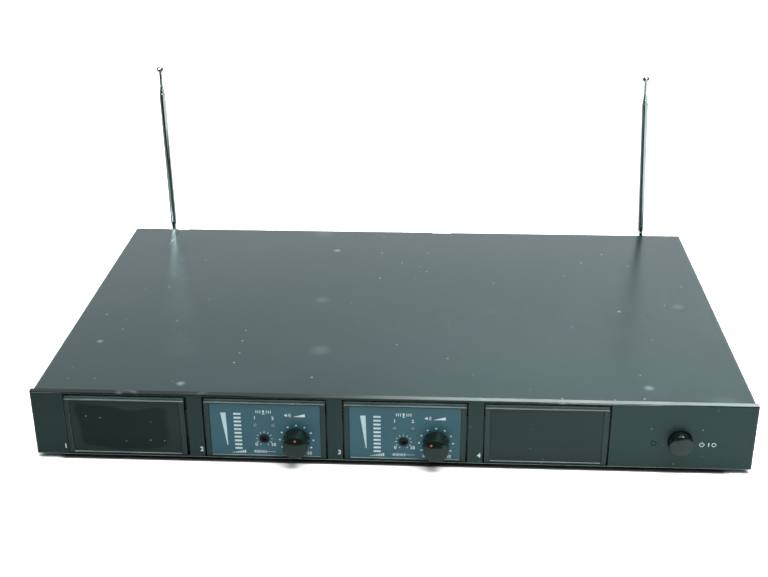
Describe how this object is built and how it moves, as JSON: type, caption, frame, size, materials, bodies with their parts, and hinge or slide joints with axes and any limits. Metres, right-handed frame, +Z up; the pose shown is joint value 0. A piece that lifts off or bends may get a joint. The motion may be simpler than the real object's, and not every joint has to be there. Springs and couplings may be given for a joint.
{
  "type": "wireless receiver unit",
  "caption": "Flat steel-cased receiver with front module bays, volume knobs, level bars, a push button and rear telescopic antennas that swivel, tilt and slide out.",
  "frame": {"origin": "on the surface that the unit stands on, under the middle of its bounding box", "axes": "+X to the right seen from the front, +Y to the rear, +Z up"},
  "size_m": [0.4356, 0.2984, 0.173],
  "materials": {
    "cover_paint": "satin dark grey paint on steel sheet",
    "tray_paint": "satin black paint on steel sheet",
    "panel_plastic": "fine-grained dark grey moulding",
    "plate_plastic": "fine-grained dark grey moulding",
    "blank_sheet": "dark printed sheet",
    "module_sheet": "blue-grey printed sheet",
    "bar_lens": "cream translucent light bars",
    "signal_lens": "pale translucent lens",
    "power_lens": "dark red lens",
    "knob_plastic": "polished black moulding",
    "button_plastic": "black moulding with a satin face",
    "rotor_plastic": "black moulding",
    "antenna_chrome": "bright plated tube",
    "screw_steel": "zinc-plated steel",
    "shield_steel": "tinned steel sheet",
    "board_laminate": "green circuit board",
    "pot_steel": "pressed steel case",
    "trimmer_plastic": "blue moulded case",
    "switch_plastic": "dark moulded case",
    "spacer_nylon": "white moulding",
    "foot_rubber": "black rubber",
    "socket_plastic": "black moulding",
    "socket_metal": "black-plated die casting",
    "nut_chrome": "nickel-plated nut",
    "pin_gold": "gold-plated brass",
    "bush_plastic": "black moulding"
  },
  "bodies": {
    "casing": {"chassis_tray": "tray_paint", "rear_panel": "tray_paint", "top_cover": "cover_paint", "front_panel": "panel_plastic", "rubber_feet": "foot_rubber", "foot_screws": "screw_steel", "case_screws": "screw_steel", "front_panel_screws": "screw_steel", "blank_plate_1": "plate_plastic", "blank_plate_4": "plate_plastic", "module_plate_2": "plate_plastic", "module_plate_3": "plate_plastic", "blank_overlay_1": "blank_sheet", "blank_overlay_4": "blank_sheet", "module_overlay_2": "module_sheet", "module_overlay_3": "module_sheet", "display_boards": "board_laminate", "module_boards": "board_laminate", "shield_cans": "shield_steel", "level_leds_2": "bar_lens", "level_leds_3": "bar_lens", "mic_leds_2": "signal_lens", "mic_leds_3": "signal_lens", "volume_pots": "pot_steel", "squelch_pots": "trimmer_plastic", "power_switch": "switch_plastic", "switch_board": "board_laminate", "power_led": "power_lens", "main_board": "board_laminate", "board_spacers": "spacer_nylon", "dc_inlet": "socket_plastic", "mix_jack": "socket_plastic", "jack_nut": "nut_chrome", "xlr_socket": "socket_metal", "xlr_pins": "pin_gold", "xlr_screws": "screw_steel", "antenna_base_left": "bush_plastic", "antenna_base_right": "bush_plastic"},
    "volume_2": {"volume_knob_2": "knob_plastic", "volume_shaft_2": "screw_steel"},
    "squelch_2": {"squelch_rotor_2": "rotor_plastic"},
    "volume_3": {"volume_knob_3": "knob_plastic", "volume_shaft_3": "screw_steel"},
    "squelch_3": {"squelch_rotor_3": "rotor_plastic"},
    "power_key": {"power_button": "button_plastic"},
    "swivel_left": {"antenna_swivel_left": "antenna_chrome", "antenna_pin_left": "antenna_chrome"},
    "arm_left": {"antenna_root_left": "antenna_chrome", "antenna_tube_left": "antenna_chrome"},
    "second_left": {"antenna_second_left": "antenna_chrome"},
    "third_left": {"antenna_third_left": "antenna_chrome"},
    "tip_left": {"antenna_tip_left": "antenna_chrome"},
    "swivel_right": {"antenna_swivel_right": "antenna_chrome", "antenna_pin_right": "antenna_chrome"},
    "arm_right": {"antenna_root_right": "antenna_chrome", "antenna_tube_right": "antenna_chrome"},
    "second_right": {"antenna_second_right": "antenna_chrome"},
    "third_right": {"antenna_third_right": "antenna_chrome"},
    "tip_right": {"antenna_tip_right": "antenna_chrome"}
  },
  "joints": [
    {"name": "volume_2_turn", "type": "hinge", "parent": "casing", "child": "volume_2", "pos_m": [-0.05624, -0.13868, 0.0163], "axis": [0, 1, 0], "range_deg": [-153, 147]},
    {"name": "volume_3_turn", "type": "hinge", "parent": "casing", "child": "volume_3", "pos_m": [0.02814, -0.13868, 0.0163], "axis": [0, 1, 0], "range_deg": [-119, 181]},
    {"name": "squelch_2_turn", "type": "hinge", "parent": "casing", "child": "squelch_2", "pos_m": [-0.07583, -0.13868, 0.0168], "axis": [0, 1, 0], "range_deg": [-175, 125]},
    {"name": "squelch_3_turn", "type": "hinge", "parent": "casing", "child": "squelch_3", "pos_m": [0.00853, -0.13868, 0.0168], "axis": [0, 1, 0], "range_deg": [-140, 160]},
    {"name": "power_press", "type": "slide", "parent": "casing", "child": "power_key", "axis": [0, 1, 0], "range_m": [0, 0.003], "stiffness_N_per_m": 400, "springref_m": -0.002},
    {"name": "antenna_left_swivel", "type": "hinge", "parent": "casing", "child": "swivel_left", "pos_m": [-0.1876, 0.13752, 0.0384], "axis": [0, -1, 0], "range_deg": [-91.3, 88.7]},
    {"name": "antenna_left_tilt", "type": "hinge", "parent": "swivel_left", "child": "arm_left", "pos_m": [-0.1876, 0.13752, 0.0384], "axis": [-0.9997, 0, -0.0227], "range_deg": [-7.4, 86.1]},
    {"name": "antenna_left_second", "type": "slide", "parent": "arm_left", "child": "second_left", "axis": [-0.0226, 0.068, 0.9974], "range_m": [0, 0.0927]},
    {"name": "antenna_left_third", "type": "slide", "parent": "second_left", "child": "third_left", "axis": [-0.0226, 0.068, 0.9974], "range_m": [0, 0.0952]},
    {"name": "antenna_left_tip", "type": "slide", "parent": "third_left", "child": "tip_left", "axis": [-0.0226, 0.068, 0.9974], "range_m": [-0.0104, 0.0865]},
    {"name": "antenna_right_swivel", "type": "hinge", "parent": "casing", "child": "swivel_right", "pos_m": [0.1876, 0.13752, 0.0384], "axis": [0, 1, 0], "range_deg": [-86.5, 93.5]},
    {"name": "antenna_right_tilt", "type": "hinge", "parent": "swivel_right", "child": "arm_right", "pos_m": [0.1876, 0.13752, 0.0384], "axis": [-0.9981, 0, -0.061], "range_deg": [0, 93.5]},
    {"name": "antenna_right_second", "type": "slide", "parent": "arm_right", "child": "second_right", "axis": [-0.0609, -0.061, 0.9963], "range_m": [0, 0.0927]},
    {"name": "antenna_right_third", "type": "slide", "parent": "second_right", "child": "third_right", "axis": [-0.0609, -0.061, 0.9963], "range_m": [0, 0.0952]},
    {"name": "antenna_right_tip", "type": "slide", "parent": "third_right", "child": "tip_right", "axis": [-0.0609, -0.061, 0.9963], "range_m": [-0.0104, 0.0865]}
  ]
}
